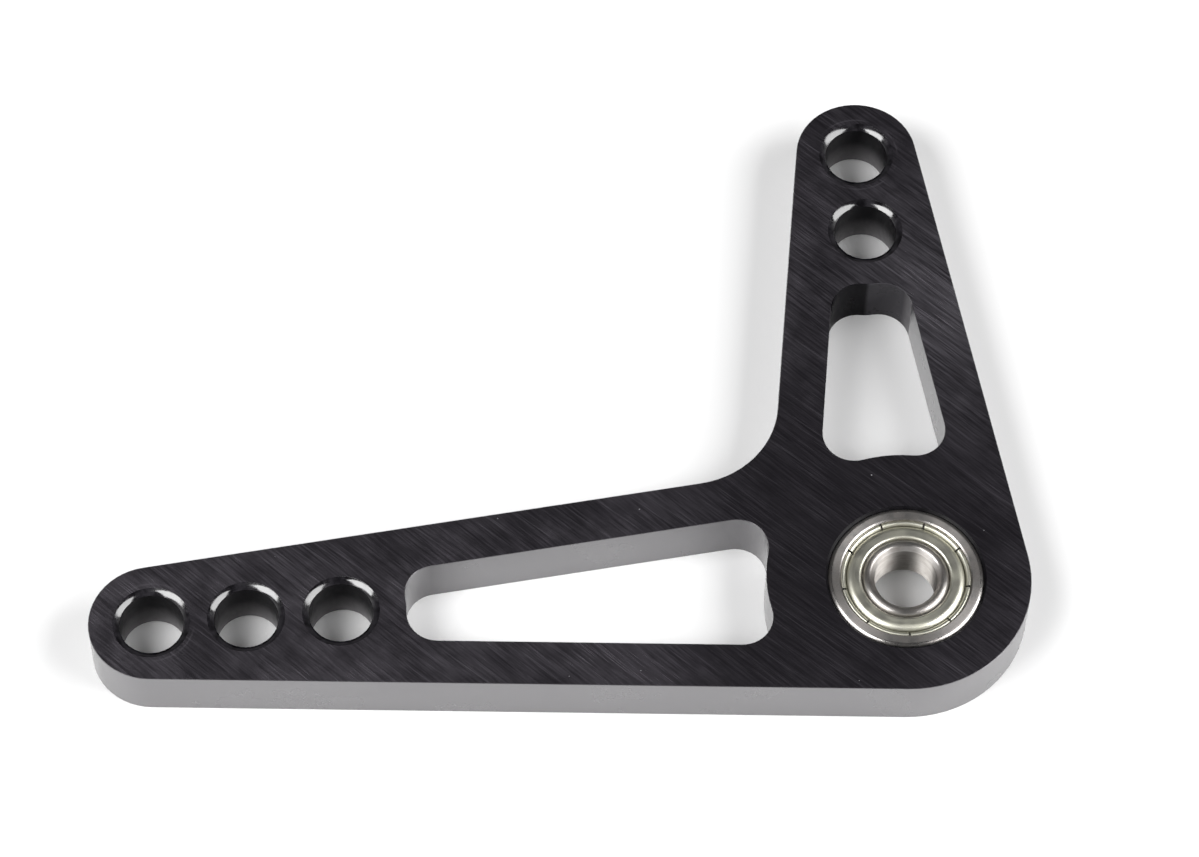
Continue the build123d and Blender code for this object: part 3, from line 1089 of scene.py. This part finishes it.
    def build(self) -> None:
        """Builds the rings and shields in order and dresses what lies between them."""
        low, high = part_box("bearing_outer_ring")
        self.height = (low.z + high.z) / 2
        ground = TurnedSteel(
            "ring_ground", (0.64, 0.62, 0.60), (0.44, 0.41, 0.39), (0.24, 0.36), (0.34, 0.50), 0.09 * MM, 0.003 * MM
        ).material(self.effects)
        honed = TurnedSteel(
            "ring_honed", (0.60, 0.58, 0.56), (0.43, 0.40, 0.375), (0.31, 0.43), (0.34, 0.48), 0.12 * MM, 0.002 * MM
        ).material(self.effects)
        bored = TurnedSteel(
            "ring_bore", (0.52, 0.50, 0.475), (0.37, 0.345, 0.32), (0.56, 0.66), (0.32, 0.46), 0.12 * MM, 0.002 * MM,
            spread=1.0,
        ).material(self.effects)
        # The shield's dark ring at its groove is painted shade.
        plated = PressedSheet(
            "shield_plating", (0.75, 0.74, 0.65), (0.62, 0.61, 0.51), (0.34, 0.50), groove_shade_radius=6.04 * MM
        ).material(self.effects)
        self.build_ring("outer_ring", self.outer_section(), "crank", "bearing_outer_ring", ground)
        self.build_ring("inner_ring", self.inner_section(), "inner_ring", "bearing_inner_ring", honed, bored)
        for side in Side:
            self.build_shield(side, plated)
        self.dress_inside()


@dataclass(frozen=True)
class Softbox:
    """A square lamp with an even face: angles in degrees, sizes in metres."""

    name: str
    azimuth: float
    elevation: float
    distance: float
    width: float
    depth: float
    radiance: float

    def build(self, aim: Vector) -> None:
        """Puts the lamp up, turned towards the object.

        Args:
            aim: The point that it faces.
        """
        data = bpy.data.lights.new(self.name, "AREA")
        data.shape = "RECTANGLE"
        data.size, data.size_y = self.width, self.depth
        data.energy = self.radiance * math.pi * self.width * self.depth
        lamp = bpy.data.objects.new(self.name, data)
        bpy.context.scene.collection.objects.link(lamp)
        turn, rise = math.radians(self.azimuth), math.radians(self.elevation)
        away = Vector((math.cos(turn) * math.cos(rise), math.sin(turn) * math.cos(rise), math.sin(rise)))
        lamp.location = aim + away * self.distance
        lamp.rotation_euler = away.to_track_quat("Z", "Y").to_euler()


@dataclass
class Studio:
    """The pale floor, the soft lamps, the surroundings and the camera."""

    floor_size: float = 8.0
    floor_colour: Colour = (0.88, 0.88, 0.88)
    floor_glow: float = 0.05
    floor_gap: float = 0.02 * MM
    sky_low: float = 0.9
    sky_back: float = 0.10
    sky_high: float = 0.06
    sky_turn: Range = (0.1, 0.45)
    sky_rise: Range = (0.2, 0.6)
    camera_place: Place = (-0.05235, -0.22960, 0.44191)
    camera_aim: Place = (-0.02949, 0.02108, 0.0)
    camera_roll: float = math.radians(1.1404)
    camera_lens: float = 147.57
    sensor: float = 36.0
    softboxes: tuple[Softbox, ...] = (
        Softbox("softbox_right", -16, 40, distance=0.62, width=0.50, depth=0.42, radiance=5.9),
        Softbox("softbox_left", 203, 50, distance=0.62, width=0.44, depth=0.36, radiance=7.8),
    )

    def build(self) -> None:
        """Puts the whole studio up."""
        low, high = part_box("crank_plate")
        self.build_floor(low.z)
        self.build_sky()
        for softbox in self.softboxes:
            softbox.build((low + high) / 2)
        self.build_camera()
        bpy.context.scene.view_settings.view_transform = "Standard"
        log.info("studio: floor at %.2f mm, %d softboxes", low.z / MM, len(self.softboxes))

    def build_floor(self, height: float) -> None:
        """Lays the pale floor, which glows a little when seen and lets a camera below see through it.

        Args:
            height: Height of the plate's underside.
        """
        deselect_all()
        bpy.ops.mesh.primitive_plane_add(size=self.floor_size, location=(0, 0, height - self.floor_gap))
        floor = bpy.context.object
        floor.name = "floor"
        material = bpy.data.materials.new("floor_paper")
        graph = Graph(bare_tree(material))
        path = graph.add("LightPath").outputs
        seen = graph.math("MAXIMUM", path["Is Camera Ray"], path["Is Glossy Ray"])
        seen = graph.math("MAXIMUM", seen, path["Is Transmission Ray"])
        paper = graph.add("BsdfDiffuse", {"Color": self.floor_colour})
        glow = graph.add("Emission", {"Strength": graph.math("MULTIPLY", seen, self.floor_glow)})
        both = graph.add("AddShader", {0: paper.outputs[0], 1: glow.outputs[0]})
        below = graph.add("NewGeometry").outputs["Backfacing"]
        clear = graph.add("BsdfTransparent")
        surface = graph.add("MixShader", {0: below, 1: both.outputs[0], 2: clear.outputs[0]})
        graph.add("OutputMaterial", {"Surface": surface.outputs[0]})
        floor.data.materials.append(material)

    def build_sky(self) -> None:
        """Makes the surroundings: pale low down at the front and sides, dark behind and overhead."""
        world = bpy.data.worlds.new("surroundings")
        bpy.context.scene.world = world
        graph = Graph(bare_tree(world))
        direction = graph.add("TexCoord").outputs["Generated"]
        low = graph.remap(graph.part(direction, "Y"), self.sky_turn, (self.sky_low, self.sky_back))
        level = graph.remap(graph.part(direction, "Z"), self.sky_rise, (low, self.sky_high), "SMOOTHSTEP")
        seen = graph.add("LightPath").outputs["Is Camera Ray"]
        sky = graph.add("Background", {"Strength": graph.math("MAXIMUM", level, seen)})
        graph.add("OutputWorld", {"Surface": sky.outputs[0]})

    def build_camera(self) -> None:
        """Sets the camera where the photograph was taken from."""
        data = bpy.data.cameras.new("camera")
        data.lens = self.camera_lens
        data.sensor_fit = "HORIZONTAL"
        data.sensor_width = self.sensor
        camera = bpy.data.objects.new("camera", data)
        bpy.context.scene.collection.objects.link(camera)
        place, aim = Vector(self.camera_place), Vector(self.camera_aim)
        level = (aim - place).to_track_quat("-Z", "Y").to_matrix()
        turned = level @ Matrix.Rotation(self.camera_roll, 3, "Z")
        camera.matrix_world = Matrix.Translation(place) @ turned.to_4x4()
        bpy.context.scene.camera = camera


def main() -> None:
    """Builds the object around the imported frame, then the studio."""
    logging.basicConfig(level=logging.INFO, format="%(name)s: %(message)s")
    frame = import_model()
    effects = Effects()
    plate = CrankPlate(frame["nodes"], effects)
    plate.read_holes(frame["record"])
    plate.build()
    Bearing(frame["nodes"], effects).build()
    Studio().build()


if __name__ == "__main__":
    main()
